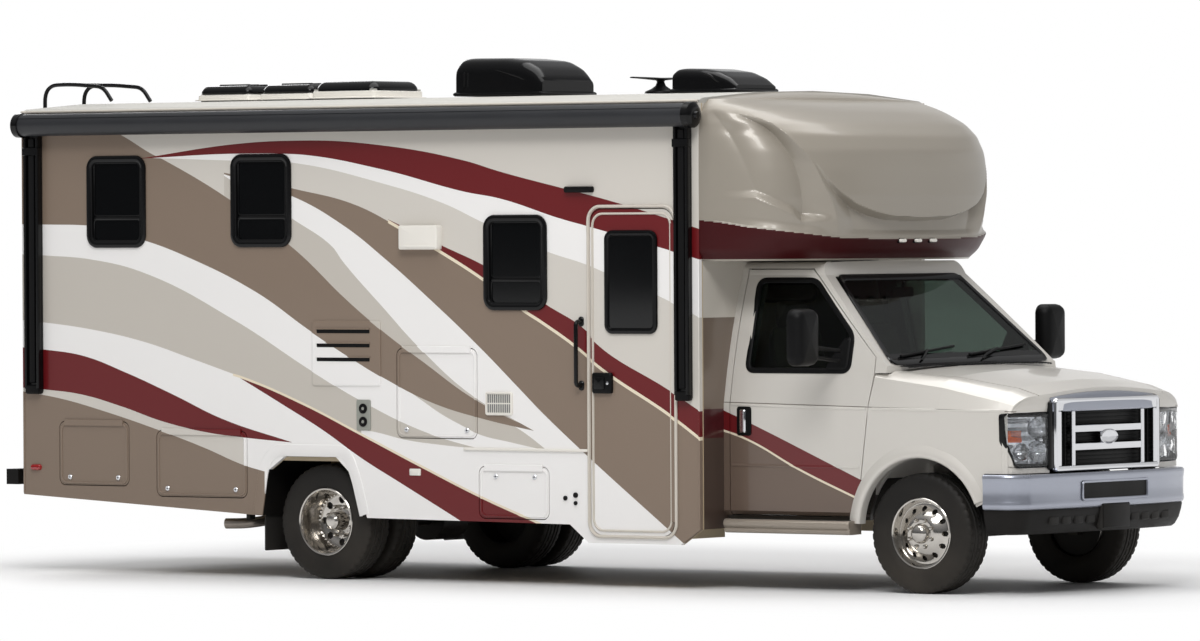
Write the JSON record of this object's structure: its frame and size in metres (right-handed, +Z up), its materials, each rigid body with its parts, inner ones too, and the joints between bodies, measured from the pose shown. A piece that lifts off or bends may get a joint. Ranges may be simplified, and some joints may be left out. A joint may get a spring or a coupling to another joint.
{
  "type": "class C motorhome",
  "caption": "Motorhome built on a cutaway van chassis: hollow cab with a bunk cap over it, hollow house with windows, lockers, awning, roof units and ladder.",
  "frame": {"origin": "middle of the footprint of the overall box, on the ground under the wheels", "axes": "+X forward, +Y to the driver's side (left), +Z up"},
  "size_m": [8, 3, 3.3419],
  "materials": {
    "cab_paint": "gloss",
    "body_skin": "gloss",
    "cap_skin": "gloss",
    "roof_membrane": "matte",
    "interior_board": "satin",
    "chrome_trim": "polished",
    "wheel_chrome": "polished",
    "tyre_rubber": "matte",
    "tinted_glass": "polished",
    "lamp_lens": "polished",
    "red_lens": "gloss",
    "black_plastic": "satin",
    "seat_fabric": "woven",
    "chassis_steel": "matte",
    "tank_plastic": "matte",
    "awning_vinyl": "satin",
    "white_plastic": "satin",
    "ladder_tube": "satin",
    "roof_unit_shell": "satin",
    "rear_bumper_paint": "satin"
  },
  "bodies": {
    "motorhome": {"cab_body": "cab_paint", "windshield": "tinted_glass", "fenders": "cab_paint", "headlamps": "lamp_lens", "grille": "chrome_trim", "front_bumper": "chrome_trim", "front_valance": "black_plastic", "running_boards": "black_plastic", "dashboard": "black_plastic", "cab_seats": "seat_fabric", "chassis_frame": "chassis_steel", "engine_block": "chassis_steel", "front_axle": "chassis_steel", "rear_axle": "chassis_steel", "under_tanks": "tank_plastic", "exhaust": "chassis_steel", "house_floor": "interior_board", "lockers": "interior_board", "wall_left": "body_skin", "wall_right": "body_skin", "wall_rear": "body_skin", "front_bulkhead": "interior_board", "house_roof": "roof_membrane", "front_cap": "cap_skin", "window_frames": "black_plastic", "window_glass": "tinted_glass", "awning": "awning_vinyl", "roof_air_units": "roof_unit_shell", "ladder": "ladder_tube", "rear_bumper": "rear_bumper_paint", "tail_lamps": "red_lens", "side_fittings": "white_plastic"},
    "knuckle_left": {"knuckle_left": "chassis_steel"},
    "knuckle_right": {"knuckle_right": "chassis_steel"},
    "front_wheel_left": {"front_tyre_left": "tyre_rubber", "front_rim_left": "wheel_chrome"},
    "front_wheel_right": {"front_tyre_right": "tyre_rubber", "front_rim_right": "wheel_chrome"},
    "rear_wheels_left": {"rear_tyres_left": "tyre_rubber", "rear_rims_left": "wheel_chrome"},
    "rear_wheels_right": {"rear_tyres_right": "tyre_rubber", "rear_rims_right": "wheel_chrome"},
    "steering_wheel": {"steering_wheel": "black_plastic"},
    "cab_door_left": {"cab_door_left": "cab_paint", "cab_door_glass_left": "tinted_glass", "mirror_left": "chrome_trim"},
    "cab_door_right": {"cab_door_right": "cab_paint", "cab_door_glass_right": "tinted_glass", "mirror_right": "chrome_trim"},
    "hood": {"hood": "cab_paint"},
    "entry_door": {"entry_door": "body_skin", "entry_window": "tinted_glass"},
    "hatch_rear": {"hatch_rear": "body_skin"},
    "hatch_wheel": {"hatch_wheel": "body_skin"},
    "hatch_galley": {"hatch_galley": "body_skin"},
    "hatch_step": {"hatch_step": "body_skin"},
    "hatch_left": {"hatch_left": "body_skin"},
    "front_vent_lid": {"front_vent_lid": "black_plastic"},
    "rear_vent_lid": {"rear_vent_lid": "black_plastic"},
    "antenna": {"antenna": "black_plastic"}
  },
  "joints": [
    {"name": "steer_left", "type": "hinge", "parent": "motorhome", "child": "knuckle_left", "pos_m": [3.2, 0.78, 0.37], "axis": [0, 0, 1], "range_deg": [-33, 33]},
    {"name": "steer_right", "type": "hinge", "parent": "motorhome", "child": "knuckle_right", "pos_m": [3.2, -0.78, 0.37], "axis": [0, 0, 1], "range_deg": [-33, 33]},
    {"name": "spin_front_left", "type": "hinge", "parent": "knuckle_left", "child": "front_wheel_left", "pos_m": [3.2, 0.858, 0.37], "axis": [0, 1, 0], "continuous": true},
    {"name": "spin_front_right", "type": "hinge", "parent": "knuckle_right", "child": "front_wheel_right", "pos_m": [3.2, -0.858, 0.37], "axis": [0, 1, 0], "continuous": true},
    {"name": "spin_rear_left", "type": "hinge", "parent": "motorhome", "child": "rear_wheels_left", "pos_m": [-1.27, 0.93, 0.37], "axis": [0, 1, 0], "continuous": true},
    {"name": "spin_rear_right", "type": "hinge", "parent": "motorhome", "child": "rear_wheels_right", "pos_m": [-1.27, -0.93, 0.37], "axis": [0, 1, 0], "continuous": true},
    {"name": "steering_wheel_turn", "type": "hinge", "parent": "motorhome", "child": "steering_wheel", "pos_m": [2.4, 0.42, 1.275], "axis": [-0.8829, 0, 0.4695], "range_deg": [-510, 510]},
    {"name": "cab_door_right_swing", "type": "hinge", "parent": "motorhome", "child": "cab_door_right", "pos_m": [2.8245, -0.982, 1.1], "axis": [0, 0, 1], "range_deg": [0, 68]},
    {"name": "cab_door_left_swing", "type": "hinge", "parent": "motorhome", "child": "cab_door_left", "pos_m": [2.8245, 0.982, 1.1], "axis": [0, 0, -1], "range_deg": [0, 68]},
    {"name": "hood_lift", "type": "hinge", "parent": "motorhome", "child": "hood", "pos_m": [3.011, 0, 1.3795], "axis": [0, -1, 0], "range_deg": [0, 50]},
    {"name": "entry_door_swing", "type": "hinge", "parent": "motorhome", "child": "entry_door", "pos_m": [1.554, -1.2453, 1.35], "axis": [0, 0, 1], "range_deg": [0, 95]},
    {"name": "hatch_rear_lift", "type": "hinge", "parent": "motorhome", "child": "hatch_rear", "pos_m": [-3.1625, -1.2453, 1.005], "axis": [-1, 0, 0], "range_deg": [0, 100]},
    {"name": "hatch_wheel_lift", "type": "hinge", "parent": "motorhome", "child": "hatch_wheel", "pos_m": [-2.2505, -1.2453, 0.954], "axis": [-1, 0, 0], "range_deg": [0, 100]},
    {"name": "hatch_galley_lift", "type": "hinge", "parent": "motorhome", "child": "hatch_galley", "pos_m": [-0.317, -1.2453, 1.499], "axis": [-1, 0, 0], "range_deg": [0, 100]},
    {"name": "hatch_step_lift", "type": "hinge", "parent": "motorhome", "child": "hatch_step", "pos_m": [0.294, -1.2453, 0.755], "axis": [-1, 0, 0], "range_deg": [0, 100]},
    {"name": "hatch_left_lift", "type": "hinge", "parent": "motorhome", "child": "hatch_left", "pos_m": [-3.1625, 1.2453, 1.005], "axis": [1, 0, 0], "range_deg": [0, 100]},
    {"name": "front_vent_lift", "type": "hinge", "parent": "motorhome", "child": "front_vent_lid", "pos_m": [-2.572, 0, 3.164], "axis": [0, -1, 0], "range_deg": [0, 70]},
    {"name": "rear_vent_lift", "type": "hinge", "parent": "motorhome", "child": "rear_vent_lid", "pos_m": [-3.102, 0, 3.164], "axis": [0, -1, 0], "range_deg": [0, 70]},
    {"name": "antenna_turn", "type": "hinge", "parent": "motorhome", "child": "antenna", "pos_m": [0.55, 0, 3.1073], "axis": [0, 0, 1], "continuous": true}
  ],
  "couplings": [
    {"joint": "steer_right", "follows": "steer_left", "ratio": 1}
  ]
}
